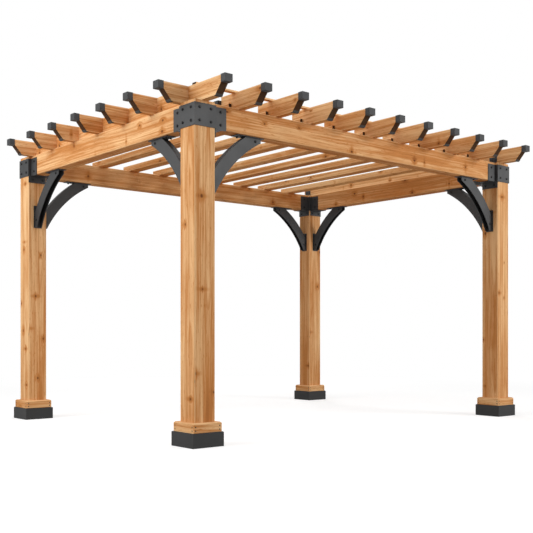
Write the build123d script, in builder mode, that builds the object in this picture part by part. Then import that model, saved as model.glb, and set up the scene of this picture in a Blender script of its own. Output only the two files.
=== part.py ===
"""Wooden pergola: four posts, a ring of beams, steel corner hardware and an open roof."""
import os
from math import sqrt

from build123d import *

os.makedirs("parts", exist_ok=True)

# Plan. X runs along the front, the front faces -Y, Z is up and the floor is Z = 0.
post_spacing_x = 3200.0
post_spacing_y = 2370.0

# Posts and their feet
post_side = 160.0
post_height = 2190.0
post_edge_chamfer = 5.0
skirt_thickness = 30.0
skirt_height = 156.0
skirt_bevel = 8.0
boot_thickness = 10.0
boot_height = 94.0
boot_bevel = 4.0

# Beams, level with the post tops and centred between the post faces
beam_thickness = 110.0
beam_height = 160.0
beam_edge_chamfer = 5.0

# Corner brackets, folded and welded from steel plate
bracket_plate = 5.0
bracket_drop = 20.0
bracket_wing = 105.0
seat_reach = 75.0
seat_leg = 58.0
seat_corner_gap = 8.0

# Curved knee braces, an open channel between two bolting plates
brace_reach = 425.0
brace_tip = 34.0
brace_inner_radius = 900.0
brace_depth = 88.0
brace_width = 48.0
brace_sheet = 5.0
brace_plate = 6.0
brace_plate_width = 70.0
brace_flange_length = 230.0
brace_flange_overhang = 22.0
brace_foot_length = 185.0
brace_foot_overhang = 8.0

# Roof timbers
roof_bays = 10
tail_thickness = 55.0
tail_height = 114.0
front_overhang = 325.0
side_overhang = 260.0
side_tail_count = 7
side_tail_inset = 90.0
front_tail_inner_reach = 80.0
nose_height = 44.0
slant_run = 60.0
slat_width = 100.0
slat_height = 48.0
slat_edge_chamfer = 3.0
slat_front_bearing = 30.0
batten_width = 40.0
batten_height = 12.0

# Caps on the tail noses
cap_wall = 2.5
cap_depth = 42.0

# Places worked out from the sizes above
half_x = post_spacing_x / 2
half_post = post_side / 2
half_beam = beam_thickness / 2
beam_bottom = post_height - beam_height
skirt_side = post_side + 2 * skirt_thickness
boot_side = skirt_side + 2 * boot_thickness
roof_pitch = post_spacing_x / roof_bays
brace_chord = sqrt(2) * (brace_reach - brace_tip)
brace_arc_height = sqrt(brace_inner_radius**2 - (brace_chord / 2) ** 2)
brace_centre_offset = (brace_reach + brace_tip) / 2 + brace_arc_height / sqrt(2)
nose_depth = cap_depth - cap_wall
nose_bottom = tail_height - nose_height
side_tip = half_x + side_overhang - cap_wall

# The origin lies under the middle of the whole part, from the front caps to the back boots
part_depth = front_overhang + post_spacing_y + max(half_beam, boot_side / 2)
front_row = front_overhang - part_depth / 2
back_row = front_row + post_spacing_y
roof_back = back_row + half_beam
front_tip = cap_wall - part_depth / 2
front_tail_inner = front_row + half_beam + front_tail_inner_reach
slat_front = front_row + half_beam - slat_front_bearing

# Each corner is drawn once, with the post centre as its origin and both beams on the plus side
corners = {
    "front_left": ((-half_x, front_row), (1, 0)),
    "front_right": ((half_x, front_row), (0, 1)),
    "back_right": ((half_x, back_row), (-1, 0)),
    "back_left": ((-half_x, back_row), (0, -1)),
}


def save(piece, name):
    """Label a finished piece and write its file."""
    piece.label = name
    export_step(piece, f"parts/{name}.step")


def corner_plane(centre, inward, height=0):
    """Level plane on a post centre, with its X axis along the next beam round the corner."""
    return Plane(origin=(*centre, height), x_dir=(*inward, 0), z_dir=(0, 0, 1))


def brace_plane(centre, direction):
    """Upright plane through a post centre and along one of its beams, with Y upwards."""
    along = Vector(*direction, 0)
    return Plane(origin=(*centre, 0), x_dir=along, z_dir=along.cross(Vector(0, 0, 1)))


def make_post(centre):
    """Square post with eased corners, standing on the floor."""
    with BuildPart() as post:
        with Locations(centre):
            Box(post_side, post_side, post_height, align=(Align.CENTER, Align.CENTER, Align.MIN))
        chamfer(post.edges().filter_by(Axis.Z), post_edge_chamfer)
    return post.part


def make_skirt(centre):
    """Wooden plinth boxed round the foot of a post, with a bevelled top."""
    with BuildPart() as skirt:
        with Locations(centre):
            Box(skirt_side, skirt_side, skirt_height, align=(Align.CENTER, Align.CENTER, Align.MIN))
        chamfer(skirt.faces().sort_by(Axis.Z)[-1].edges(), skirt_bevel)
        with Locations(centre):
            Box(post_side, post_side, skirt_height, align=(Align.CENTER, Align.CENTER, Align.MIN),
                mode=Mode.SUBTRACT)
    return skirt.part


def make_boot(centre):
    """Dark boot round the lower part of a skirt."""
    with BuildPart() as boot:
        with Locations(centre):
            Box(boot_side, boot_side, boot_height, align=(Align.CENTER, Align.CENTER, Align.MIN))
        chamfer(boot.faces().sort_by(Axis.Z)[-1].edges(), boot_bevel)
        with Locations(centre):
            Box(skirt_side, skirt_side, boot_height, align=(Align.CENTER, Align.CENTER, Align.MIN),
                mode=Mode.SUBTRACT)
    return boot.part


def make_beam(centre, length, axis):
    """Beam that fits between two posts, along the given axis."""
    size = (length, beam_thickness) if axis == Axis.X else (beam_thickness, length)
    with BuildPart() as beam:
        with Locations((*centre, beam_bottom)):
            Box(*size, beam_height, align=(Align.CENTER, Align.CENTER, Align.MIN))
        chamfer(beam.edges().filter_by(axis), beam_edge_chamfer)
    return beam.part


def make_bracket(centre, inward):
    """Welded bracket: an outer and an inner folded plate, and a seat angle under each beam."""
    plate = bracket_plate
    wing_end = half_post + bracket_wing
    outer_fold = [
        (wing_end, -half_beam),
        (wing_end, -half_beam - plate),
        (half_post + plate, -half_beam - plate),
        (half_post + plate, -half_post - plate),
        (-half_post - plate, -half_post - plate),
        (-half_post - plate, half_post + plate),
        (-half_beam - plate, half_post + plate),
        (-half_beam - plate, wing_end),
        (-half_beam, wing_end),
        (-half_beam, half_post),
        (-half_post, half_post),
        (-half_post, -half_post),
        (half_post, -half_post),
        (half_post, -half_beam),
    ]
    inner_fold = [
        (wing_end, half_beam),
        (half_post, half_beam),
        (half_post, half_post),
        (half_beam, half_post),
        (half_beam, wing_end),
        (half_beam + plate, wing_end),
        (half_beam + plate, half_post + plate),
        (half_post + plate, half_post + plate),
        (half_post + plate, half_beam + plate),
        (wing_end, half_beam + plate),
    ]
    seat_bottom = beam_bottom - plate
    fold_height = post_height - bracket_drop - seat_bottom
    leg_width = post_side - seat_corner_gap
    with BuildPart() as bracket:
        with BuildSketch(corner_plane(centre, inward, seat_bottom)):
            for fold in (outer_fold, inner_fold):
                with BuildLine():
                    Polyline(*fold, close=True)
                make_face()
        extrude(amount=fold_height)
        with BuildSketch(corner_plane(centre, inward, seat_bottom)):
            with Locations((half_post, 0)):
                Rectangle(seat_reach, beam_thickness + 2 * plate, align=(Align.MIN, Align.CENTER))
            with Locations((0, half_post)):
                Rectangle(beam_thickness + 2 * plate, seat_reach, align=(Align.CENTER, Align.MIN))
        extrude(amount=plate)
        with BuildSketch(corner_plane(centre, inward, beam_bottom)):
            with Locations((half_post, -half_post)):
                Rectangle(plate, leg_width, align=(Align.MIN, Align.MIN))
            with Locations((-half_post, half_post)):
                Rectangle(leg_width, plate, align=(Align.MIN, Align.MIN))
        extrude(amount=-seat_leg)
    return bracket.part


def make_brace(centre, direction):
    """Curved brace: a channel open on its hollow side, a flange under the beam and a foot plate."""
    plane = brace_plane(centre, direction)
    arc_centre = (half_post + brace_centre_offset, beam_bottom - brace_centre_offset)
    outer_radius = brace_inner_radius + brace_depth
    inner_width = brace_width - 2 * brace_sheet
    with BuildPart() as brace:
        with BuildSketch(plane):
            with Locations(arc_centre):
                Circle(outer_radius)
                Circle(brace_inner_radius, mode=Mode.SUBTRACT)
            with Locations((half_post, beam_bottom)):
                Rectangle(brace_reach, brace_reach, align=(Align.MIN, Align.MAX), mode=Mode.INTERSECT)
        extrude(amount=brace_width / 2, both=True)
        with BuildSketch(plane):
            with Locations(arc_centre):
                Circle(outer_radius - brace_sheet)
        extrude(amount=inner_width / 2, both=True, mode=Mode.SUBTRACT)
        with BuildSketch(plane):
            with Locations((half_post + brace_reach + brace_flange_overhang, beam_bottom)):
                Rectangle(brace_flange_length, brace_plate, align=(Align.MAX, Align.MAX))
            with Locations((half_post, beam_bottom - brace_reach - brace_foot_overhang)):
                Rectangle(brace_plate, brace_foot_length, align=(Align.MIN, Align.MIN))
        extrude(amount=brace_plate_width / 2, both=True)
    return brace.part


def tail_outline(inner, tip):
    """Side view of a roof timber from its square inner end to its slanted and nosed tip."""
    outward = 1 if tip > inner else -1
    nose_start = tip - outward * nose_depth
    return [
        (inner, 0),
        (nose_start - outward * slant_run, 0),
        (nose_start, nose_bottom),
        (tip, nose_bottom),
        (tip, tail_height),
        (inner, tail_height),
    ]


def lapped_outline(inner, tip):
    """Side view of a front tail, with its inner end cut away to lap over the slat behind it."""
    return [(inner, slat_height), (slat_front, slat_height), (slat_front, 0), *tail_outline(inner, tip)[1:]]


def make_tails(planes, outline):
    """Tails of one outline, one on each upright plane, with Z up the plane's Y axis."""
    with BuildPart() as tails:
        for plane in planes:
            with BuildSketch(plane):
                with BuildLine():
                    Polyline(*outline, close=True)
                make_face()
            extrude(amount=tail_thickness / 2, both=True)
    return tails.part


def along_y(x):
    """Upright plane at one X on top of the beams, with its X axis along +Y."""
    return Plane(origin=(x, 0, post_height), x_dir=(0, 1, 0), z_dir=(1, 0, 0))


def along_x(y):
    """Upright plane at one Y on top of the beams, with its X axis along +X."""
    return Plane(origin=(0, y, post_height), x_dir=(1, 0, 0), z_dir=(0, -1, 0))


def make_slat(x):
    """Square-ended slat, laid flat, that bears on the front and back beams."""
    with BuildPart() as slat:
        with Locations((x, slat_front, post_height)):
            Box(slat_width, roof_back - slat_front, slat_height,
                align=(Align.CENTER, Align.MIN, Align.MIN))
        chamfer(slat.edges().filter_by(Axis.Y), slat_edge_chamfer)
    return slat.part


# Posts with their feet and their steel
for corner, (centre, inward) in corners.items():
    save(make_post(centre), f"{corner}_post")
    save(make_skirt(centre), f"{corner}_skirt")
    save(make_boot(centre), f"{corner}_boot")
    save(make_bracket(centre, inward), f"{corner}_bracket")
    across = (-inward[1], inward[0])
    for direction in (inward, across):
        side = "long" if direction[0] else "short"
        save(make_brace(centre, direction), f"{corner}_{side}_brace")

# Beams
long_beam = post_spacing_x - post_side
short_beam = post_spacing_y - post_side
save(make_beam((0, front_row), long_beam, Axis.X), "front_beam")
save(make_beam((0, back_row), long_beam, Axis.X), "back_beam")
beam_middle = (front_row + back_row) / 2
save(make_beam((-half_x, beam_middle), short_beam, Axis.Y), "left_beam")
save(make_beam((half_x, beam_middle), short_beam, Axis.Y), "right_beam")

# End rafters, one over each short beam, with the outermost front tails on their ends
rafter_outline = tail_outline(roof_back, front_tip)
save(make_tails([along_y(-half_x)], rafter_outline), "left_end_rafter")
save(make_tails([along_y(half_x)], rafter_outline), "right_end_rafter")

# Slats, one in line with each front tail
front_tail_places = [-half_x + bay * roof_pitch for bay in range(1, roof_bays)]
for number, x in enumerate(front_tail_places, start=1):
    save(make_slat(x), f"slat_{number}")

# Tails on the front beam and on the outer faces of the end rafters
side_tail_pitch = (post_spacing_y - 2 * side_tail_inset) / (side_tail_count - 1)
side_tail_places = [
    front_row + side_tail_inset + tail * side_tail_pitch for tail in range(side_tail_count)
]
end_rafter_face = half_x + tail_thickness / 2
front_planes = [along_y(x) for x in front_tail_places]
side_planes = [along_x(y) for y in side_tail_places]
save(make_tails(front_planes, lapped_outline(front_tail_inner, front_tip)), "front_tails")
save(make_tails(side_planes, tail_outline(-end_rafter_face, -side_tip)), "left_tails")
save(make_tails(side_planes, tail_outline(end_rafter_face, side_tip)), "right_tails")

# Batten that ties the front tails together over the beam
with BuildPart() as batten:
    with Locations((0, front_row, post_height + tail_height)):
        Box(post_spacing_x + tail_thickness, batten_width, batten_height,
            align=(Align.CENTER, Align.CENTER, Align.MIN))
save(batten.part, "front_batten")

# Folded cap over each nose, open on the timber's side
cap_seats = [(along_y(-half_x + bay * roof_pitch), front_tip) for bay in range(roof_bays + 1)]
cap_seats += [(plane, -side_tip) for plane in side_planes]
cap_seats += [(plane, side_tip) for plane in side_planes]
with BuildPart() as caps:
    for plane, tip in cap_seats:
        outward = 1 if tip > 0 else -1
        nose_middle = (tip - outward * nose_depth / 2, nose_bottom + nose_height / 2)
        shell_middle = (tip + outward * (cap_wall - nose_depth) / 2, nose_middle[1])
        with BuildSketch(plane):
            with Locations(shell_middle):
                Rectangle(cap_depth, nose_height + 2 * cap_wall)
        extrude(amount=tail_thickness / 2 + cap_wall, both=True)
        with BuildSketch(plane):
            with Locations(nose_middle):
                Rectangle(nose_depth, nose_height)
        extrude(amount=tail_thickness / 2, both=True, mode=Mode.SUBTRACT)
save(caps.part, "tail_caps")
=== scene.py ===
"""Finishes, fasteners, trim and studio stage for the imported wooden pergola."""
import math

import bmesh
import bpy
from bpy.props import FloatProperty, FloatVectorProperty, PointerProperty
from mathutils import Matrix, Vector


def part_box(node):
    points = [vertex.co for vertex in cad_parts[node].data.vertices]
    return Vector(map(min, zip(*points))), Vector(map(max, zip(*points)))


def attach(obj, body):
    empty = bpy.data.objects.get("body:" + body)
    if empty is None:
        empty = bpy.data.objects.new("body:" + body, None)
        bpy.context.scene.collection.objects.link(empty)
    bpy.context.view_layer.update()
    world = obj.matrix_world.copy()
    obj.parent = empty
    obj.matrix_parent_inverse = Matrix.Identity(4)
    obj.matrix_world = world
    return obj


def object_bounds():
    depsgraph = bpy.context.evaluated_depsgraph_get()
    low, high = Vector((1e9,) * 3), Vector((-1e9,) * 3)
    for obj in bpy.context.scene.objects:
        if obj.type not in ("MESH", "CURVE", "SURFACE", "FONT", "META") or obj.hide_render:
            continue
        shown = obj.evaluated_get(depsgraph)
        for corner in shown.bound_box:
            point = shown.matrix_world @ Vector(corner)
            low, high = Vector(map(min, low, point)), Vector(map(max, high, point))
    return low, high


bl_info = {
    "name": "Wooden Pergola",
    "version": (1, 0, 0),
    "blender": (4, 5, 0),
    "location": "3D View > Sidebar > Pergola",
    "description": "Dresses the pergola frame with cedar, steel, bolts and a studio stage",
    "category": "Object",
}

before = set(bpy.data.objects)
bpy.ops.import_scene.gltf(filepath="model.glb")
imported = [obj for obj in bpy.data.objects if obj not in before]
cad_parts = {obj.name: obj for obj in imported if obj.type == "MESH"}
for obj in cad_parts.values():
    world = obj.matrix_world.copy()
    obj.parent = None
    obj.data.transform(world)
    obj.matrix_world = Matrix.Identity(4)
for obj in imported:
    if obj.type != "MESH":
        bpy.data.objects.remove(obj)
cad_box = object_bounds()

BODY = "root"
CORNERS = ("front_left", "front_right", "back_right", "back_left")
BRACE_AXES = {"long": 0, "short": 1}
SLATS = sorted(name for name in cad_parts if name.startswith("slat_"))
END_RAFTERS = ("left_end_rafter", "right_end_rafter")
TAIL_AXES = {"front_tails": 1, "left_end_rafter": 1, "right_end_rafter": 1, "left_tails": 0, "right_tails": 0}
BOARD_AXES = {"front_beam": 0, "back_beam": 0, "left_beam": 1, "right_beam": 1, "front_batten": 0}
UNIT = (Vector((1, 0, 0)), Vector((0, 1, 0)), Vector((0, 0, 1)))

# Colour of the white room and floor, and the strength at which it shows as white
WHITE, WHITE_STRENGTH = (1.0, 1.0, 1.0), 1.0

# Points nearer than this, in metres, lie at one place
SAME_PLACE = 0.0002

# A face is slanted where its normal has more than this share upright and along its tail
SLANT_SHARE = 0.3

# Seeds that give each board its own grain, and how far they may move it through the noises
POST_SEEDS = (5.71, 62.33, 10.43, 86.27)
BOARD_SEED = 70.97
TAIL_SEED, TAIL_SEED_STEP = 50.2, 20
SKIRT_SEED, SKIRT_SEED_STEP = 120.6, 5
BOARD_SPREAD = (40.0, 7.0, 7.0)

# Waves of the cedar's noises to a metre, along the board and across it. Those of the streaks are counted
# to a band, to a metre along the board and to a step of the seed. Dashes show where their noise is high
SLOW_WAVES, QUICK_WAVES = (0.6, 4.0, 4.0), (2.5, 16.0, 16.0)
STREAK_WAVES, STRAND_WAVES = (1.0, 1.5, 5.3), (0.8, 75.0, 75.0)
FIBRE_WAVES, DASH_WAVES = (9.0, 420.0, 420.0), (22.0, 190.0, 190.0)
DASH_EDGE = (0.62, 0.72)
PLAIN_DETAIL, FINE_DETAIL = 2.0, 3.0
MEAN = 0.5

# Knots: cells to a metre, keys that set faces apart, their stretch along the grain, radii in metres, and
# where soft edges start and end
KNOT_CELL = (2.8, 5.2, 1.0)
ACROSS_KEY, UP_KEY, SEED_KEY = 3.7, 9.1, 13.7
KNOT_STRETCH = (0.7, 1.0, 0.0)
KNOT_RADII = (0.003, 0.011)
KNOT_EDGE, HALO_EDGE = (1.15, 0.45), (4.5, 0.8)
SPIKE_ALONG, SPIKE_ACROSS, SPIKE_CHANCE = (0.020, 0.001), (0.075, 0.015), (0.45, 0.60)

# Growth rings: the spread of the pith, how far each noise bends a ring, and the rise and fall of late wood
PITH_SPREAD = (0.0, 0.3, 0.3)
SLOW_BEND, QUICK_BEND, KNOT_BEND = 0.06, 0.010, 0.008
LATE_RISE, LATE_FALL = (0.25, 0.85), (1.0, 0.92)

# Weights of these in the wood's tone, the tones at which its colours change, the shares of its stains, and
# the share of the painted highlight on its arrises.
# The end stain starts and ends by how far a face looks along the board
TONE_START = -0.87
TONE_WEIGHTS = {"board": 0.12, "streak": 1.0, "strand": 0.65, "slow": 0.7, "late": 0.14, "fibre": 0.5,
                "halo": 0.25, "dash": 0.30, "spike": 0.18}
MIDDLE_TONES, DARK_TONES = (0.0, 0.55), (0.45, 1.05)
KNOT_SHARE, ARRIS_HIGHLIGHT_SHARE, END_SHARE = 0.75, 0.75, 0.95
END_EDGE = (0.2, 0.45)
WOOD_ROUGHNESS, FIBRE_ROUGHNESS = 0.6, 0.2
FIBRE_HEIGHT, LATE_HEIGHT, KNOT_HEIGHT = 0.7, 0.3, -1.0

# Powder coat: waves to a metre, where specks start and end, and weights of clouds and specks
CLOUD_WAVES, PEEL_WAVES = (8.0, 8.0, 8.0), (650.0, 650.0, 650.0)
CLOUD_DETAIL = 4.0
SPECK_EDGE = (0.58, 0.72)
COAT_LIFT, CLOUD_LIFT, SPECK_LIFT = 0.72, 0.5, 0.25
COAT_ROUGHNESS, CLOUD_ROUGHNESS = 0.5, 0.2

# Relief of the finishes, with its depth in metres
GRAIN_RELIEF, GRAIN_DEPTH, GRAIN_GLOSS = 0.35, 0.0008, 0.05
PEEL_RELIEF, PEEL_DEPTH = 0.25, 0.0004

# Places of the fasteners as shares of what they hold, and the forms of their heads, with the turn in radians
BRACKET_ROW_SHARES = (0.2, 0.8)
LEG_ROW_SHARE, POST_COLUMN_SHARE, WING_COLUMN_SHARE = 0.45, 0.56, 0.55
BRACE_END_SHARE, BRACE_NEAR_SHARE = 0.85, 0.063
FLANGE_BOLT_SHARE, FOOT_BOLT_SHARE, BRACE_SPREAD_SHARE = 0.57, 0.63, 0.6
SHOE_BOLT_SHARES = (0.28, 0.72)
CLEAT_BOLT_SHARES = (0.25, 0.75)
CLEAT_ROW_SHARE = 0.6
HEAD_RIM_SHARE = 0.85
HEAD_SIDES, HEAD_TURN, WASHER_SIDES = 6, 0.4, 20
NAIL_ROW_SHARES = (0.25, 0.62)
NAIL_SHARES = ((1.0, 0.0), (0.9, 0.6), (0.5, 1.0))
NAIL_SIDES = 12

# Form of a bevel between a hollow one at 0 and a square one at 1
BEVEL_PROFILE_SHARE = 0.5


def colour(name, description, default):
    """A colour property, in linear light."""
    return FloatVectorProperty(name=name, description=description, default=default, subtype="COLOR",
                               size=3, min=0.0, max=1.0)


def length(name, description, default):
    """A length property, in metres."""
    return FloatProperty(name=name, description=description, default=default, min=0.0,
                         unit="LENGTH", subtype="DISTANCE", precision=4)


def share(name, description, default):
    """A share property, from 0 to 1."""
    return FloatProperty(name=name, description=description, default=default, min=0.0, max=1.0,
                         subtype="FACTOR")


def position(name, description, default):
    """A place in the frame, in metres."""
    return FloatVectorProperty(name=name, description=description, default=default, size=3,
                               unit="LENGTH", subtype="TRANSLATION")


def power(name, description, default):
    """The power of a light, in watts."""
    return FloatProperty(name=name, description=description, default=default, min=0.0, unit="POWER")


class PergolaFinish(bpy.types.PropertyGroup):
    """Colours and scale of the finishes."""

    cedar_light: colour("Light cedar", "Palest growth of the stained timber", (0.90, 0.585, 0.305))
    cedar_middle: colour("Middle cedar", "Usual tone of the stained timber", (0.60, 0.255, 0.080))
    cedar_dark: colour("Dark cedar", "Darkest growth of the stained timber", (0.36, 0.128, 0.035))
    knot: colour("Knot", "Heart of a knot", (0.085, 0.028, 0.013))
    end_stain: colour("End grain", "Sealed end grain on cut faces", (0.034, 0.017, 0.011))
    # Painted highlight: pale colour along the arrises, where light catches their eased edges
    arris_highlight: colour("Arris", "Worn edges along the boards", (0.92, 0.62, 0.33))
    steel: colour("Steel", "Powder coat on brackets and braces", (0.014, 0.0152, 0.0164))
    boot: colour("Boot", "Powder coat on the boots", (0.017, 0.0174, 0.0178))
    cap: colour("Cap", "Moulded caps on the tails", (0.030, 0.032, 0.034))
    bolt: colour("Bolt", "Blackened bolts and screws", (0.010, 0.010, 0.0105))
    lip: colour("Lip", "Strip along the foot of a slanted cut", (0.045, 0.042, 0.040))
    steel_gloss: share("Steel gloss", "Gloss of the brackets and braces", 0.52)
    coat_gloss: share("Coat gloss", "Gloss of the boots, caps and fasteners", 0.3)
    ring_spacing: length("Ring spacing", "Width of one growth ring", 0.0085)
    band_width: length("Band width", "Width of the light and dark streaks", 0.017)
    # Width of the painted highlight along an arris
    arris_highlight_width: length("Arris width", "Width of the wear along an edge", 0.010)


class PergolaSizes(bpy.types.PropertyGroup):
    """Sizes of the fasteners and trim that the scene adds."""

    bolt_width: length("Bolt head", "Width across a bolt head", 0.0145)
    bolt_height: length("Bolt height", "Height of a bolt head", 0.006)
    washer_width: length("Washer", "Width of a washer", 0.020)
    washer_thickness: length("Washer thickness", "Thickness of a washer", 0.002)
    nail_width: length("Nail head", "Width of a nail head", 0.009)
    nail_height: length("Nail height", "Height of a nail head", 0.0012)
    nail_inset: length("Nail inset", "Distance of a nail from the end of its board", 0.016)
    lip_depth: length("Lip depth", "Depth of the steel lip under a slanted cut", 0.014)
    lip_thickness: length("Lip thickness", "Thickness of the steel lip", 0.003)
    plate: length("Plate", "Thickness of a shoe or a cleat", 0.004)
    shoe_length: length("Shoe length", "Length of a shoe along its slat", 0.060)
    shoe_height: length("Shoe height", "Height of a shoe over the beam", 0.090)
    cleat_length: length("Cleat length", "Length of a cleat along its rafter", 0.076)
    cleat_height: length("Cleat height", "Height of a cleat up its rafter", 0.060)
    cleat_foot: length("Cleat foot", "Width of a cleat's foot on the beam", 0.045)
    edge: length("Edge", "Bevel on the edges of trim", 0.0006)


class PergolaStage(bpy.types.PropertyGroup):
    """Camera, lights and floor."""

    camera_place: position("Camera", "Place of the camera", (-4.873, -5.628, 0.7264))
    camera_heading: FloatProperty(name="Heading", description="Turn of the camera from +Y towards +X",
                                  default=math.radians(40.26), subtype="ANGLE", unit="ROTATION")
    lens: FloatProperty(name="Lens", description="Focal length on a sensor 36 mm wide", default=59.05,
                        unit="CAMERA")
    lens_rise: FloatProperty(name="Lens rise", description="Rise of the picture as a share of its width",
                             default=0.1229)
    room_light: share("Room light", "Strength of the even room light", 0.13)
    key_place: position("Key place", "Place of the main softbox", (-5.5, 0.45, 3.0))
    key_light: power("Key light", "Power of the main softbox", 206.0)
    fill_place: position("Fill place", "Place of the second softbox", (4.8, -8.3, 3.6))
    fill_light: power("Fill light", "Power of the second softbox", 505.0)
    front_place: position("Front place", "Place of the softbox over the front", (-2.2, -4.2, 4.2))
    front_light: power("Front light", "Power of the softbox over the front", 45.0)
    back_place: position("Back place", "Place of the softbox behind", (5.0, 8.0, 3.5))
    back_light: power("Back light", "Power of the softbox behind", 330.0)
    top_place: position("Top place", "Place of the softbox overhead", (0.0, 0.0, 7.0))
    top_light: power("Top light", "Power of the softbox overhead", 150.0)
    softbox: length("Softbox", "Width of a softbox", 4.0)
    floor: colour("Floor", "Floor colour in the light that it gives back", (0.38, 0.28, 0.185))
    shadow_share: share("Shadow", "Share of the floor's picture that takes shadow", 0.55)
    open_light: share("Open light", "Light that reaches the open floor, at which it shows white", 0.74)
    floor_width: length("Floor width", "Width of the floor", 80.0)
    fade_start: length("Fade start", "Distance at which the floor's shadow starts to fade", 3.0)
    fade_end: length("Fade end", "Distance at which the floor is plain white", 7.0)


class Graph:
    """Short calls that build one node tree."""

    def __init__(self, tree):
        self.tree = tree
        tree.nodes.clear()

    def feed(self, socket, value):
        """Link a socket to another, or set its value."""
        if isinstance(value, bpy.types.NodeSocket):
            self.tree.links.new(value, socket)
        elif socket.type == "RGBA":
            socket.default_value = (*value, 1.0)
        else:
            socket.default_value = value

    def node(self, kind, inputs=None, **settings):
        """A node with its settings made and its inputs fed, by name or by number."""
        made = self.tree.nodes.new(kind)
        for name, value in settings.items():
            setattr(made, name, value)
        for name, value in (inputs or {}).items():
            self.feed(made.inputs[name], value)
        return made

    def math(self, operation, *values):
        """One sum on numbers."""
        return self.node("ShaderNodeMath", dict(enumerate(values)), operation=operation).outputs[0]

    def vector(self, operation, *values):
        """One sum on vectors."""
        return self.node("ShaderNodeVectorMath", dict(enumerate(values)), operation=operation).outputs[0]

    def size(self, vector):
        """The length of a vector."""
        return self.node("ShaderNodeVectorMath", {0: vector}, operation="LENGTH").outputs["Value"]

    def split(self, vector):
        """The three parts of a vector."""
        return self.node("ShaderNodeSeparateXYZ", {0: vector}).outputs

    def join(self, *parts):
        """A vector from three numbers."""
        return self.node("ShaderNodeCombineXYZ", dict(enumerate(parts))).outputs[0]

    def noise(self, vector, stretch, detail=PLAIN_DETAIL):
        """Smooth noise from 0 to 1, with so many waves to each unit of the vector."""
        spot = self.vector("MULTIPLY", vector, stretch)
        return self.node("ShaderNodeTexNoise", {"Vector": spot, "Scale": 1.0, "Detail": detail}).outputs[0]

    def step(self, value, start, end):
        """A soft step from 0 at start to 1 at end."""
        return self.node("ShaderNodeMapRange", {"Value": value, "From Min": start, "From Max": end},
                         interpolation_type="SMOOTHSTEP").outputs[0]

    def mix(self, amount, first, second):
        """A colour between two colours, by the numbers of the Mix node's colour sockets."""
        return self.node("ShaderNodeMix", {0: amount, 6: first, 7: second}, data_type="RGBA").outputs[2]

    def between(self, amount, first, second):
        """A number between two numbers, by the numbers of the Mix node's number sockets."""
        return self.node("ShaderNodeMix", {0: amount, 2: first, 3: second}, data_type="FLOAT").outputs[0]

    def total(self, start, terms):
        """A sum of values, each with its own weight."""
        for value, weight in terms:
            start = self.math("MULTIPLY_ADD", value, weight, start)
        return start


def new_group(name, inputs, outputs):
    """An empty shader node group with named sockets: its graph, its inputs and its outputs."""
    tree = bpy.data.node_groups.new(name, "ShaderNodeTree")
    graph = Graph(tree)
    for kind, sockets in (("INPUT", inputs), ("OUTPUT", outputs)):
        for socket_name, socket_type in sockets.items():
            tree.interface.new_socket(name=socket_name, in_out=kind, socket_type=f"NodeSocket{socket_type}")
    return graph, graph.node("NodeGroupInput").outputs, graph.node("NodeGroupOutput").inputs


def row_group():
    """Place on one board of a row: along it, across it from its own centre, and up."""
    graph, given, made = new_group(
        "Board In Row",
        {"Vector": "Vector", "Centre": "Vector", "Pitch": "Float"},
        {"Vector": "Vector", "Index": "Float"})
    along, across, up = graph.split(graph.vector("SUBTRACT", given["Vector"], given["Centre"]))
    index = graph.math("ROUND", graph.math("DIVIDE", across, given["Pitch"]))
    within = graph.math("SUBTRACT", across, graph.math("MULTIPLY", index, given["Pitch"]))
    graph.feed(made["Vector"], graph.join(along, within, up))
    graph.feed(made["Index"], index)
    return graph.tree


def mitre_group():
    """Place on one of four boards boxed round a post, which meet at mitres."""
    graph, given, made = new_group(
        "Mitred Boards",
        {"Vector": "Vector", "Normal": "Vector", "Centre": "Vector"},
        {"Vector": "Vector", "Facing": "Vector", "Index": "Float"})
    x, y, z = graph.split(graph.vector("SUBTRACT", given["Vector"], given["Centre"]))
    normal_x, normal_y, normal_z = graph.split(given["Normal"])
    side = graph.math("GREATER_THAN", graph.math("ABSOLUTE", x), graph.math("ABSOLUTE", y))
    across = graph.between(side, y, x)
    graph.feed(made["Vector"], graph.join(graph.between(side, x, y), across, z))
    graph.feed(made["Facing"], graph.join(0.0, graph.between(side, normal_y, normal_x), normal_z))

    # The four boards count from 0 to 3
    graph.feed(made["Index"], graph.total(side, [(graph.math("GREATER_THAN", across, 0.0), 2.0)]))
    return graph.tree


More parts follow.
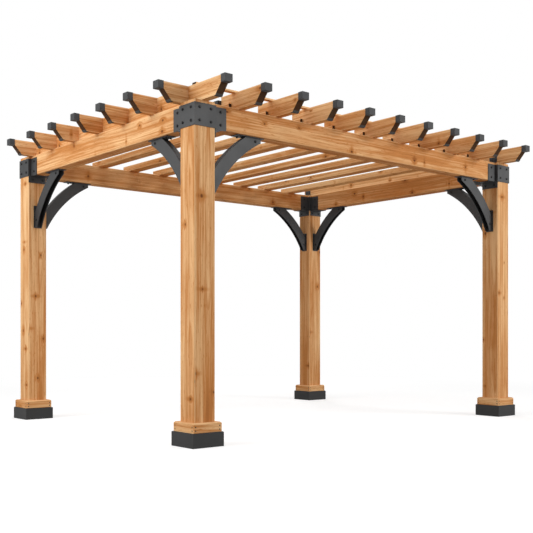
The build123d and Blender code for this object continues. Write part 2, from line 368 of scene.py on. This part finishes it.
def cedar_group(finish):
    """Solid cedar: growth rings round a pith, streaks, fibres, knots, a painted highlight along the arrises
    and sealed ends.
    """
    graph, given, made = new_group(
        "Cedar Grain",
        {"Vector": "Vector", "Facing": "Vector", "Half": "Vector", "Seed": "Float"},
        {"Color": "Color", "Roughness": "Float", "Height": "Float"})
    along, across, up = graph.split(given["Vector"])
    face_along, face_across, face_up = graph.split(given["Facing"])
    dice = graph.node("ShaderNodeTexWhiteNoise", {"W": given["Seed"]}, noise_dimensions="1D")
    chance = dice.outputs["Color"]
    spot = graph.vector("ADD", given["Vector"], graph.vector("MULTIPLY", chance, BOARD_SPREAD))
    slow = graph.math("SUBTRACT", graph.noise(spot, SLOW_WAVES), MEAN)
    quick = graph.math("SUBTRACT", graph.noise(spot, QUICK_WAVES), MEAN)

    # Knots lie in the plane of each face, one to a cell
    faces_up = graph.math("GREATER_THAN", graph.math("ABSOLUTE", face_up),
                          graph.math("ABSOLUTE", face_across))
    face_key = graph.total(0.0, [(face_across, ACROSS_KEY), (face_up, UP_KEY), (given["Seed"], SEED_KEY)])
    knot_spot = graph.join(graph.math("ADD", along, face_key), graph.between(faces_up, up, across), 0.0)
    scaled = graph.vector("MULTIPLY", knot_spot, KNOT_CELL)
    cells = graph.node("ShaderNodeTexVoronoi", {"Vector": scaled, "Scale": 1.0}, voronoi_dimensions="2D")
    away = graph.vector("DIVIDE", graph.vector("SUBTRACT", cells.outputs["Position"], scaled), KNOT_CELL)
    distance = graph.size(graph.vector("MULTIPLY", away, KNOT_STRETCH))
    knot_chance, spike_chance, _ = graph.split(cells.outputs["Color"])
    ratio = graph.math("DIVIDE", distance, graph.between(knot_chance, *KNOT_RADII))
    knot = graph.step(ratio, *KNOT_EDGE)
    halo = graph.step(ratio, *HALO_EDGE)

    # Some knots spread into a reddish spike across the grain
    away_along, away_across, _ = graph.split(away)
    spike = graph.math("MULTIPLY", graph.step(graph.math("ABSOLUTE", away_along), *SPIKE_ALONG),
                       graph.step(graph.math("ABSOLUTE", away_across), *SPIKE_ACROSS))
    spike = graph.math("MULTIPLY", spike, graph.step(spike_chance, *SPIKE_CHANCE))

    # Growth rings bend along the board and swell round its knots
    pith = graph.vector("MULTIPLY", graph.vector("SUBTRACT", chance, (MEAN, MEAN, MEAN)), PITH_SPREAD)
    reach = graph.size(graph.vector("SUBTRACT", graph.join(0.0, across, up), pith))
    reach = graph.total(reach, [(slow, SLOW_BEND), (quick, QUICK_BEND), (halo, KNOT_BEND)])
    ring = graph.math("FRACT", graph.math("DIVIDE", reach, finish.ring_spacing))
    late = graph.math("MULTIPLY", graph.step(ring, *LATE_RISE), graph.step(ring, *LATE_FALL))
    streak_spot = graph.join(graph.math("DIVIDE", reach, finish.band_width), along, given["Seed"])
    fibre = graph.noise(spot, FIBRE_WAVES, FINE_DETAIL)

    parts = {"board": graph.split(chance)[0], "slow": slow, "late": late, "fibre": fibre, "halo": halo,
             "spike": spike,
             "streak": graph.noise(streak_spot, STREAK_WAVES, FINE_DETAIL),
             "strand": graph.noise(spot, STRAND_WAVES, FINE_DETAIL),
             "dash": graph.step(graph.noise(spot, DASH_WAVES), *DASH_EDGE)}
    tone = graph.total(TONE_START, [(parts[name], weight) for name, weight in TONE_WEIGHTS.items()])
    wood = graph.mix(graph.step(tone, *MIDDLE_TONES), finish.cedar_light, finish.cedar_middle)
    wood = graph.mix(graph.step(tone, *DARK_TONES), wood, finish.cedar_dark)
    wood = graph.mix(graph.math("MULTIPLY", knot, KNOT_SHARE), wood, finish.knot)

    # Arrises along the board get a painted highlight, a pale line where light catches their eased edges, and
    # its cut ends are sealed dark
    inset = graph.vector("SUBTRACT", given["Half"], graph.vector("ABSOLUTE", given["Vector"]))
    _, inset_across, inset_up = graph.split(inset)
    arris_highlight = graph.step(graph.math("MAXIMUM", inset_across, inset_up), finish.arris_highlight_width, 0.0)
    wood = graph.mix(graph.math("MULTIPLY", arris_highlight, ARRIS_HIGHLIGHT_SHARE), wood, finish.arris_highlight)
    end = graph.step(graph.math("ABSOLUTE", face_along), *END_EDGE)
    wood = graph.mix(graph.math("MULTIPLY", end, END_SHARE), wood, finish.end_stain)
    graph.feed(made["Color"], wood)
    graph.feed(made["Roughness"], graph.total(WOOD_ROUGHNESS, [(fibre, FIBRE_ROUGHNESS)]))
    relief = [(fibre, FIBRE_HEIGHT), (late, LATE_HEIGHT), (knot, KNOT_HEIGHT)]
    graph.feed(made["Height"], graph.total(0.0, relief))
    return graph.tree


def coat_group():
    """Powder coat: fine orange peel, faint clouds and paler specks."""
    graph, given, made = new_group(
        "Powder Coat",
        {"Vector": "Vector", "Color": "Color"},
        {"Color": "Color", "Roughness": "Float", "Height": "Float"})
    cloud = graph.noise(given["Vector"], CLOUD_WAVES, CLOUD_DETAIL)
    peel = graph.noise(given["Vector"], PEEL_WAVES)
    lift = graph.total(COAT_LIFT, [(cloud, CLOUD_LIFT), (graph.step(peel, *SPECK_EDGE), SPECK_LIFT)])
    graph.feed(made["Color"], graph.vector("MULTIPLY", given["Color"], graph.join(lift, lift, lift)))
    graph.feed(made["Roughness"], graph.total(COAT_ROUGHNESS, [(cloud, CLOUD_ROUGHNESS)]))
    graph.feed(made["Height"], peel)
    return graph.tree


def new_material(name, relief, depth, gloss):
    """A new material: its graph, the place on the surface, and a way to finish it from a finish group."""
    material = bpy.data.materials.new(name)
    material.use_nodes = True
    graph = Graph(material.node_tree)
    surface = graph.node("ShaderNodeTexCoord").outputs["Object"]

    def finish(layer):
        """Feed the shader with a finish group's colour, roughness and height."""
        bump = graph.node("ShaderNodeBump", {
            "Strength": relief,
            "Distance": depth,
            "Height": layer.outputs["Height"]})
        shader = graph.node("ShaderNodeBsdfPrincipled", {
            "Base Color": layer.outputs["Color"],
            "Roughness": layer.outputs["Roughness"],
            "Specular IOR Level": gloss,
            "Normal": bump.outputs["Normal"]})
        graph.node("ShaderNodeOutputMaterial", {"Surface": shader.outputs[0]})
        return material

    return graph, surface, finish


def coat_material(name, group, tint, gloss):
    """Powder-coated steel or moulded cap in one tint."""
    graph, surface, finish = new_material(name, PEEL_RELIEF, PEEL_DEPTH, gloss)
    return finish(graph.node("ShaderNodeGroup", {"Vector": surface, "Color": tint}, node_tree=group))


def board_order(axis):
    """The three axes with the board's own first."""
    return [axis] + [other for other in range(3) if other != axis]


def turned(graph, vector, axis):
    """A vector with the board's own direction first."""
    parts = graph.split(vector)
    return graph.join(*(parts[part] for part in board_order(axis)))


def cedar_layer(graph, group, boards, facing, half, seed):
    """The cedar of boards whose group gives the place on each and its number."""
    return graph.node("ShaderNodeGroup", {
        "Vector": boards.outputs["Vector"],
        "Facing": facing,
        "Half": half,
        "Seed": graph.math("ADD", boards.outputs["Index"], seed)}, node_tree=group)


def cedar_material(name, groups, axis, centre, half, pitch, seed):
    """Cedar with its grain along one axis, for a board or a row of boards of one half size."""
    graph, surface, finish = new_material(name, GRAIN_RELIEF, GRAIN_DEPTH, GRAIN_GLOSS)
    order = board_order(axis)
    row = graph.node("ShaderNodeGroup", {
        "Vector": turned(graph, surface, axis),
        "Centre": [centre[part] for part in order],
        "Pitch": pitch}, node_tree=groups["row"])
    facing = turned(graph, graph.node("ShaderNodeNewGeometry").outputs["Normal"], axis)
    return finish(cedar_layer(graph, groups["cedar"], row, facing, [half[part] for part in order], seed))


def skirt_material(name, groups, centre, half, seed):
    """Cedar boards boxed round a post, with level grain and mitred corners."""
    graph, surface, finish = new_material(name, GRAIN_RELIEF, GRAIN_DEPTH, GRAIN_GLOSS)
    mitre = graph.node("ShaderNodeGroup", {
        "Vector": surface,
        "Normal": graph.node("ShaderNodeNewGeometry").outputs["Normal"],
        "Centre": centre}, node_tree=groups["mitre"])
    return finish(cedar_layer(graph, groups["cedar"], mitre, mitre.outputs["Facing"], half, seed))


def paint(node, material):
    """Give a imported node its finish."""
    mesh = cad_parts[node].data
    mesh.materials.clear()
    mesh.materials.append(material)


def middle(node):
    """Centre of a node's box."""
    low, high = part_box(node)
    return (low + high) / 2


def half_size(node):
    """Half the size of a node's box."""
    low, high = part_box(node)
    return (high - low) / 2


def add_slab(mesh, corner, edges, bevel):
    """Bevelled slab from one corner and its three edges."""
    steps = [(a, b, c) for a in (0, 1) for b in (0, 1) for c in (0, 1)]
    ends = [corner + edges[0] * a + edges[1] * b + edges[2] * c for a, b, c in steps]
    verts = [mesh.verts.new(end) for end in ends]
    sides = ((0, 1, 3, 2), (4, 6, 7, 5), (0, 4, 5, 1), (2, 3, 7, 6), (0, 2, 6, 4), (1, 5, 7, 3))
    faces = [mesh.faces.new([verts[place] for place in side]) for side in sides]
    rims = list(dict.fromkeys(rim for face in faces for rim in face.edges))
    bmesh.ops.bevel(mesh, geom=rims, offset=bevel, segments=1, profile=BEVEL_PROFILE_SHARE, affect="EDGES")


def add_ring(mesh, matrix, radius, height, count, turn=0.0):
    """One ring of points about a fastener's axis."""
    angles = [turn + 2 * math.pi * place / count for place in range(count)]
    points = [Vector((radius * math.cos(angle), radius * math.sin(angle), height)) for angle in angles]
    return [mesh.verts.new(matrix @ point) for point in points]


def join_rings(mesh, rings):
    """Faces between rings of equal count, with a lid on the last."""
    for lower, upper in zip(rings, rings[1:]):
        for place in range(len(lower)):
            after = (place + 1) % len(lower)
            mesh.faces.new((lower[place], lower[after], upper[after], upper[place]))
    mesh.faces.new(rings[-1])


def seat_matrix(seat, normal):
    """The frame of a fastener that stands on a surface."""
    matrix = Vector(normal).to_track_quat("Z", "Y").to_matrix().to_4x4()
    matrix.translation = seat
    return matrix


def add_bolt(mesh, seat, normal, sizes):
    """Hexagonal bolt head on a round washer."""
    matrix = seat_matrix(seat, normal)
    washer, head = sizes.washer_width / 2, sizes.bolt_width / 2
    rise = sizes.washer_thickness
    top = rise + sizes.bolt_height
    rim = HEAD_RIM_SHARE
    washer_profile = ((washer, 0.0), (washer, rise * rim), (washer * (1 + rim) / 2, rise))
    join_rings(mesh, [add_ring(mesh, matrix, *level, WASHER_SIDES) for level in washer_profile])
    head_profile = ((head, rise), (head, rise + (top - rise) * rim), (head * rim, top))
    join_rings(mesh, [add_ring(mesh, matrix, *level, HEAD_SIDES, HEAD_TURN) for level in head_profile])


def add_nail(mesh, seat, normal, sizes):
    """Low domed nail head."""
    matrix = seat_matrix(seat, normal)
    radius, height = sizes.nail_width / 2, sizes.nail_height
    profile = [(radius * wide, height * tall) for wide, tall in NAIL_SHARES]
    join_rings(mesh, [add_ring(mesh, matrix, *level, NAIL_SIDES) for level in profile])


def new_piece(name, mesh, material):
    """Turn built faces into a piece that rides on the frame."""
    bmesh.ops.recalc_face_normals(mesh, faces=mesh.faces)
    data = bpy.data.meshes.new(name)
    mesh.to_mesh(data)
    mesh.free()
    data.materials.append(material)
    piece = bpy.data.objects.new(name, data)
    bpy.context.scene.collection.objects.link(piece)
    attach(piece, BODY)


def corner_facts(corner):
    """Centre of a post, half its width, and the signs that point along its two beams."""
    low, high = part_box(f"{corner}_post")
    centre = (low + high) / 2
    inward = (-math.copysign(1, centre.x), 1.0 if corner.startswith("front") else -1.0)
    return centre, (high.x - low.x) / 2, inward


def beam_facts():
    """Half the thickness of a beam, and the height of its underside."""
    low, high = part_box("front_beam")
    return (high.y - low.y) / 2, low.z


def at(axis, own, other, height):
    """A point from its place along one level axis, along the other, and its height."""
    return Vector((own, other, height)) if axis == 0 else Vector((other, own, height))


def bracket_bolts(corner):
    """Seats and directions of the bolts through one corner bracket."""
    centre, half_post, inward = corner_facts(corner)
    half_beam, beam_bottom = beam_facts()
    low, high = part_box(f"{corner}_bracket")
    outer_x = low.x if inward[0] > 0 else high.x
    inner_x = high.x if inward[0] > 0 else low.x
    plate = abs(outer_x - centre.x) - half_post
    wing = abs(inner_x - centre.x) - half_post
    rows = [beam_bottom + (high.z - beam_bottom) * part for part in BRACKET_ROW_SHARES]
    leg_row = low.z + (beam_bottom - low.z) * LEG_ROW_SHARE
    post_column = half_post * POST_COLUMN_SHARE
    wing_column = half_post + plate + (wing - plate) * WING_COLUMN_SHARE
    found = []
    for axis in (0, 1):
        other = 1 - axis
        outward = UNIT[axis] * -inward[axis]
        face = centre[axis] - inward[axis] * (half_post + plate)
        beam_outer = centre[axis] - inward[axis] * (half_beam + plate)
        beam_inner = centre[axis] + inward[axis] * (half_beam + plate)
        wing_place = centre[other] + inward[other] * wing_column
        for height in rows:
            found += [(at(axis, face, centre[other] + column, height), outward)
                      for column in (-post_column, post_column)]
            found.append((at(axis, beam_outer, wing_place, height), outward))
            found.append((at(axis, beam_inner, wing_place, height), -outward))
        leg = centre[axis] + inward[axis] * (half_post + plate)
        found += [(at(axis, leg, centre[other] + column, leg_row), -outward)
                  for column in (-post_column, post_column)]
    return found


def levels(values):
    """Different values in rising order."""
    rising = sorted(values)
    return [value for place, value in enumerate(rising)
            if place == 0 or value - rising[place - 1] > SAME_PLACE]


def brace_bolts(corner, side):
    """Seats and directions of the bolts through one knee brace."""
    axis = BRACE_AXES[side]
    other = 1 - axis
    centre, half_post, inward = corner_facts(corner)
    node = f"{corner}_{side}_brace"
    low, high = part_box(node)
    post_face = centre[axis] + inward[axis] * half_post
    points = [vertex.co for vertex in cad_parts[node].data.vertices]
    widths = levels(abs(point[other] - centre[other]) for point in points)
    plate_half, cheek = widths[-1], widths[-2]
    plates = [point for point in points if plate_half - abs(point[other] - centre[other]) < SAME_PLACE]
    flange_bottom = levels(point.z for point in plates)[-2]
    foot_face = levels(abs(point[axis] - post_face) for point in plates)[1]
    reach = high[axis] - low[axis]
    drop = high.z - low.z
    found = []
    for sign in (-1, 1):
        cheek_place = centre[other] + sign * cheek
        outward = UNIT[other] * sign
        for along, down in ((BRACE_END_SHARE, BRACE_NEAR_SHARE), (BRACE_NEAR_SHARE, BRACE_END_SHARE)):
            own = post_face + inward[axis] * reach * along
            found.append((at(axis, own, cheek_place, high.z - drop * down), outward))
        screw = centre[other] + sign * plate_half * BRACE_SPREAD_SHARE
        own = post_face + inward[axis] * reach * FLANGE_BOLT_SHARE
        found.append((at(axis, own, screw, flange_bottom), -UNIT[2]))
        foot = post_face + inward[axis] * foot_face
        found.append((at(axis, foot, screw, high.z - drop * FOOT_BOLT_SHARE), UNIT[axis] * inward[axis]))
    return found


def skirt_nails(corner, inset):
    """Seats and directions of the nails at the ends of the four boards of one skirt."""
    low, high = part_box(f"{corner}_skirt")
    boot_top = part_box(f"{corner}_boot")[1].z
    heights = [boot_top + (high.z - boot_top) * part for part in NAIL_ROW_SHARES]
    found = []
    for axis in (0, 1):
        other = 1 - axis
        columns = (low[other] + inset, high[other] - inset)
        for face, outward in ((low[axis], -UNIT[axis]), (high[axis], UNIT[axis])):
            found += [(at(axis, face, column, height), outward) for column in columns for height in heights]
    return found


def slanted_cuts(node):
    """The slanted cut of each tail in a node: where its lower and upper edges start, and the way across."""
    axis = TAIL_AXES[node]
    other = 1 - axis
    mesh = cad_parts[node].data
    cut_faces = [face for face in mesh.polygons
                 if abs(face.normal.z) > SLANT_SHARE and abs(face.normal[axis]) > SLANT_SHARE]
    cut_faces.sort(key=lambda face: face.center[other])
    groups = []
    for face in cut_faces:
        points = [mesh.vertices[place].co.copy() for place in face.vertices]
        if groups and face.center[other] - groups[-1][-1][other] < (points[0] - points[1]).length:
            groups[-1] += points
        else:
            groups.append(points)
    cuts = []
    for points in groups:
        bottom, top = min(p.z for p in points), max(p.z for p in points)
        first, last = min(p[other] for p in points), max(p[other] for p in points)
        lower = next(p[axis] for p in points if p.z - bottom < SAME_PLACE)
        upper = next(p[axis] for p in points if top - p.z < SAME_PLACE)
        across = UNIT[other] * (last - first)
        cuts.append((at(axis, lower, first, bottom), at(axis, upper, first, top), across))
    return cuts


def finish_groups(context):
    """The shared finish groups, made once."""
    finish = context.scene.pergola_finish
    makers = {"row": ("Board In Row", row_group), "mitre": ("Mitred Boards", mitre_group),
              "cedar": ("Cedar Grain", lambda: cedar_group(finish)), "coat": ("Powder Coat", coat_group)}
    return {key: bpy.data.node_groups.get(name) or maker() for key, (name, maker) in makers.items()}


def coat(context, tint):
    """The coat material in one of the finish colours, made once."""
    name = f"{tint}_coat"
    finish = context.scene.pergola_finish
    gloss = finish.steel_gloss if tint == "steel" else finish.coat_gloss
    made = bpy.data.materials.get(name)
    return made or coat_material(name, finish_groups(context)["coat"], getattr(finish, tint), gloss)


class PERGOLA_OT_finish_timber(bpy.types.Operator):
    """Give every timber its own cedar, with the grain along the board"""

    bl_idname = "pergola.finish_timber"
    bl_label = "Finish Timber"

    def execute(self, context):
        groups = finish_groups(context)
        single = {f"{corner}_post": 2 for corner in CORNERS}
        single.update(BOARD_AXES)
        single.update({name: 1 for name in (*SLATS, *END_RAFTERS)})
        lone_pitch = (cad_box[1] - cad_box[0]).length
        seeds = [*POST_SEEDS, *(BOARD_SEED + place for place in range(len(CORNERS), len(single)))]
        for seed, (node, axis) in zip(seeds, single.items()):
            paint(node, cedar_material(f"cedar_{node}", groups, axis, middle(node), half_size(node),
                                       lone_pitch, seed))
        for seed, node in enumerate(("front_tails", "left_tails", "right_tails")):
            axis = TAIL_AXES[node]
            other = 1 - axis
            tails = [(lower[other], across.length) for lower, _, across in slanted_cuts(node)]
            places = [start + width / 2 for start, width in tails]
            centre = middle(node)
            centre[other] = places[0]
            half = half_size(node)
            half[other] = tails[0][1] / 2
            pitch = (places[-1] - places[0]) / (len(places) - 1)
            paint(node, cedar_material(f"cedar_{node}", groups, axis, centre, half, pitch,
                                       TAIL_SEED + TAIL_SEED_STEP * seed))
        for seed, corner in enumerate(CORNERS):
            node = f"{corner}_skirt"
            paint(node, skirt_material(f"cedar_{node}", groups, middle(node), half_size(node),
                                       SKIRT_SEED + SKIRT_SEED_STEP * seed))
        return {"FINISHED"}


class PERGOLA_OT_finish_steel(bpy.types.Operator):
    """Coat the brackets, braces, boots and caps"""

    bl_idname = "pergola.finish_steel"
    bl_label = "Finish Steel"

    def execute(self, context):
        for corner in CORNERS:
            for part in ("bracket", "long_brace", "short_brace"):
                paint(f"{corner}_{part}", coat(context, "steel"))
            paint(f"{corner}_boot", coat(context, "boot"))
        paint("tail_caps", coat(context, "cap"))
        return {"FINISHED"}


class PERGOLA_OT_add_bolts(bpy.types.Operator):
    """Bolt the brackets and the braces to the timber"""

    bl_idname = "pergola.add_bolts"
    bl_label = "Add Bolts"

    def execute(self, context):
        sizes = context.scene.pergola_sizes
        bolts = {}
        for corner in CORNERS:
            bolts[f"{corner}_bracket_bolts"] = bracket_bolts(corner)
            for side in BRACE_AXES:
                bolts[f"{corner}_{side}_brace_bolts"] = brace_bolts(corner, side)
        for name, seats in bolts.items():
            mesh = bmesh.new()
            for seat, normal in seats:
                add_bolt(mesh, seat, normal, sizes)
            new_piece(name, mesh, coat(context, "bolt"))
        return {"FINISHED"}


class PERGOLA_OT_add_nails(bpy.types.Operator):
    """Nail the skirt boards at their mitred ends"""

    bl_idname = "pergola.add_nails"
    bl_label = "Add Nails"

    def execute(self, context):
        sizes = context.scene.pergola_sizes
        for corner in CORNERS:
            mesh = bmesh.new()
            for seat, normal in skirt_nails(corner, sizes.nail_inset):
                add_nail(mesh, seat, normal, sizes)
            new_piece(f"{corner}_skirt_nails", mesh, coat(context, "bolt"))
        return {"FINISHED"}


class PERGOLA_OT_add_cut_lips(bpy.types.Operator):
    """Edge the foot of each tail's slanted cut with a folded steel lip"""

    bl_idname = "pergola.add_cut_lips"
    bl_label = "Add Cut Lips"

    def execute(self, context):
        sizes = context.scene.pergola_sizes
        lips = bmesh.new()
        for node, axis in TAIL_AXES.items():
            for lower, upper, across in slanted_cuts(node):
                slope = (upper - lower).normalized()
                outward = slope.cross(across).normalized()
                if outward.z > 0:
                    outward = -outward
                inner = -UNIT[axis] * math.copysign(1, slope[axis])
                for run, rise in ((slope, outward), (inner, -UNIT[2])):
                    edges = (run * sizes.lip_depth, across, rise * sizes.lip_thickness)
                    add_slab(lips, lower, edges, sizes.edge)
        new_piece("tail_cut_lips", lips, coat(context, "lip"))
        return {"FINISHED"}


class PERGOLA_OT_add_shoes(bpy.types.Operator):
    """Hold the first and last slats to the ends of their tails in steel shoes"""

    bl_idname = "pergola.add_shoes"
    bl_label = "Add Shoes"

    def execute(self, context):
        sizes = context.scene.pergola_sizes
        plate = sizes.plate
        tail_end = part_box("front_tails")[1].y
        height = UNIT[2] * sizes.shoe_height
        run = UNIT[1] * sizes.shoe_length
        for node in (SLATS[0], SLATS[-1]):
            low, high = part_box(node)
            left = low.x - plate
            wide = UNIT[0] * (high.x - low.x + 2 * plate)
            shoe = bmesh.new()
            for cheek in (left, high.x):
                add_slab(shoe, Vector((cheek, tail_end, low.z)), (UNIT[0] * plate, run, height), sizes.edge)
            rise = UNIT[2] * (low.z + sizes.shoe_height - high.z)
            for wall in (tail_end, tail_end + sizes.shoe_length - plate):
                add_slab(shoe, Vector((left, wall, high.z)), (wide, UNIT[1] * plate, rise), sizes.edge)
            top = Vector((left, tail_end, low.z + sizes.shoe_height - plate))
            add_slab(shoe, top, (wide, run, UNIT[2] * plate), sizes.edge)
            for face, side in ((left, -UNIT[0]), (high.x + plate, UNIT[0])):
                for part in SHOE_BOLT_SHARES:
                    seat = Vector((face, tail_end + sizes.shoe_length * part, (low.z + high.z) / 2))
                    add_bolt(shoe, seat, side, sizes)
            new_piece(f"{node}_shoe", shoe, coat(context, "steel"))
        return {"FINISHED"}


class PERGOLA_OT_add_cleats(bpy.types.Operator):
    """Fix both end rafters to the beams under them with steel angle cleats"""

    bl_idname = "pergola.add_cleats"
    bl_label = "Add Cleats"

    def execute(self, context):
        sizes = context.scene.pergola_sizes
        for rafter in END_RAFTERS:
            low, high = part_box(rafter)
            inward = -math.copysign(1, low.x)
            face = high.x if inward > 0 else low.x
            cleats = bmesh.new()
            for beam in ("front_beam", "back_beam"):
                beam_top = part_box(beam)[1].z
                centre = middle(beam).y
                corner = Vector((face, centre - sizes.cleat_length / 2, beam_top))
                run = UNIT[1] * sizes.cleat_length
                across = UNIT[0] * inward
                leg = (across * sizes.plate, run, UNIT[2] * sizes.cleat_height)
                foot = (across * sizes.cleat_foot, run, UNIT[2] * sizes.plate)
                for slab in (leg, foot):
                    add_slab(cleats, corner, slab, sizes.edge)
                for part in CLEAT_BOLT_SHARES:
                    seat = corner + run * part + across * sizes.plate
                    add_bolt(cleats, seat + UNIT[2] * sizes.cleat_height * CLEAT_ROW_SHARE, across, sizes)
                    seat = corner + run * part + UNIT[2] * sizes.plate
                    add_bolt(cleats, seat + across * sizes.cleat_foot * CLEAT_ROW_SHARE, UNIT[2], sizes)
            new_piece(f"{rafter}_cleats", cleats, coat(context, "steel"))
        return {"FINISHED"}


class PERGOLA_OT_set_stage(bpy.types.Operator):
    """Set the floor, the softboxes, the white room and the camera"""

    bl_idname = "pergola.set_stage"
    bl_label = "Set Stage"

    def execute(self, context):
        scene = context.scene
        stage = scene.pergola_stage
        scene.view_settings.view_transform = "Standard"
        self.lay_floor(stage)
        self.light_room(scene, stage)
        aim = (cad_box[0] + cad_box[1]) / 2
        for name in ("key", "fill", "front", "back", "top"):
            spot, energy = Vector(getattr(stage, f"{name}_place")), getattr(stage, f"{name}_light")
            self.hang_softbox(f"{name}_softbox", spot, aim, energy, stage.softbox)
        camera = bpy.data.objects.new("camera", bpy.data.cameras.new("camera"))
        camera.location = stage.camera_place
        camera.rotation_euler = (math.pi / 2, 0.0, -stage.camera_heading)
        camera.data.lens = stage.lens
        camera.data.shift_y = stage.lens_rise
        scene.collection.objects.link(camera)
        scene.camera = camera
        return {"FINISHED"}

    def seen(self, graph):
        """1 where the camera, a reflection or clear glass looks, and 0 for the light that surfaces gather."""
        path = graph.node("ShaderNodeLightPath").outputs
        looks = graph.math("MAXIMUM", path["Is Camera Ray"], path["Is Glossy Ray"])
        return graph.math("MAXIMUM", looks, path["Is Transmission Ray"])

    def lay_floor(self, stage):
        """Pale floor that shows white, and takes the shadow near the feet."""
        half = stage.floor_width / 2
        data = bpy.data.meshes.new("floor")
        corners = [(-half, -half, 0), (half, -half, 0), (half, half, 0), (-half, half, 0)]
        data.from_pydata(corners, [], [(0, 1, 2, 3)])
        floor = bpy.data.objects.new("floor", data)
        bpy.context.scene.collection.objects.link(floor)
        material = bpy.data.materials.new("studio_floor")
        material.use_nodes = True
        graph = Graph(material.node_tree)
        radius = graph.size(graph.node("ShaderNodeTexCoord").outputs["Object"])
        near = graph.step(radius, stage.fade_end, stage.fade_start)
        shaded = graph.math("MULTIPLY", near, stage.shadow_share)
        glow = graph.total(WHITE_STRENGTH, [(shaded, -stage.open_light)])
        white = graph.node("ShaderNodeEmission", {"Color": WHITE, "Strength": glow})
        paper = graph.node("ShaderNodeBsdfDiffuse", {"Color": graph.join(shaded, shaded, shaded)})
        picture = graph.node("ShaderNodeAddShader", {0: white.outputs[0], 1: paper.outputs[0]})
        bounce = graph.node("ShaderNodeBsdfDiffuse", {"Color": stage.floor})
        shaders = {0: self.seen(graph), 1: bounce.outputs[0], 2: picture.outputs[0]}
        both = graph.node("ShaderNodeMixShader", shaders)
        graph.node("ShaderNodeOutputMaterial", {"Surface": both.outputs[0]})
        data.materials.append(material)

    def light_room(self, scene, stage):
        """Even room light, and a white background where the camera looks past the floor."""
        world = bpy.data.worlds.new("studio")
        world.use_nodes = True
        graph = Graph(world.node_tree)
        strength = graph.between(self.seen(graph), stage.room_light, WHITE_STRENGTH)
        room = graph.node("ShaderNodeBackground", {"Color": WHITE, "Strength": strength})
        graph.node("ShaderNodeOutputWorld", {"Surface": room.outputs[0]})
        scene.world = world

    def hang_softbox(self, name, spot, aim, energy, width):
        """Square softbox that points at the pergola."""
        light = bpy.data.lights.new(name, "AREA")
        light.energy = energy
        light.size = width
        lamp = bpy.data.objects.new(name, light)
        lamp.location = spot
        lamp.rotation_euler = (aim - spot).to_track_quat("-Z", "Y").to_euler()
        bpy.context.scene.collection.objects.link(lamp)


class PERGOLA_PT_dressing(bpy.types.Panel):
    """Sidebar panel that lists the dressing steps and their settings"""

    bl_label = "Pergola"
    bl_idname = "PERGOLA_PT_dressing"
    bl_space_type = "VIEW_3D"
    bl_region_type = "UI"
    bl_category = "Pergola"

    def draw(self, context):
        for step in STEPS:
            self.layout.operator(step.bl_idname)
        for settings in SETTINGS:
            group = getattr(context.scene, settings)
            column = self.layout.column(align=True)
            for name in group.__annotations__:
                column.prop(group, name)


STEPS = (PERGOLA_OT_finish_timber, PERGOLA_OT_finish_steel, PERGOLA_OT_add_bolts, PERGOLA_OT_add_nails,
         PERGOLA_OT_add_cut_lips, PERGOLA_OT_add_shoes, PERGOLA_OT_add_cleats, PERGOLA_OT_set_stage)
SETTINGS = {"pergola_finish": PergolaFinish, "pergola_sizes": PergolaSizes, "pergola_stage": PergolaStage}


def register():
    """Register the settings, the steps and the panel."""
    for name, settings in SETTINGS.items():
        bpy.utils.register_class(settings)
        setattr(bpy.types.Scene, name, PointerProperty(type=settings))
    for step in (*STEPS, PERGOLA_PT_dressing):
        bpy.utils.register_class(step)


def unregister():
    """Take the panel, the steps and the settings away again."""
    for step in (PERGOLA_PT_dressing, *reversed(STEPS)):
        bpy.utils.unregister_class(step)
    for name, settings in SETTINGS.items():
        delattr(bpy.types.Scene, name)
        bpy.utils.unregister_class(settings)


def main():
    """Dress the pergola."""
    register()
    bpy.ops.pergola.finish_timber()
    bpy.ops.pergola.finish_steel()
    bpy.ops.pergola.add_bolts()
    bpy.ops.pergola.add_nails()
    bpy.ops.pergola.add_cut_lips()
    bpy.ops.pergola.add_shoes()
    bpy.ops.pergola.add_cleats()
    bpy.ops.pergola.set_stage()


if __name__ == "__main__":
    main()
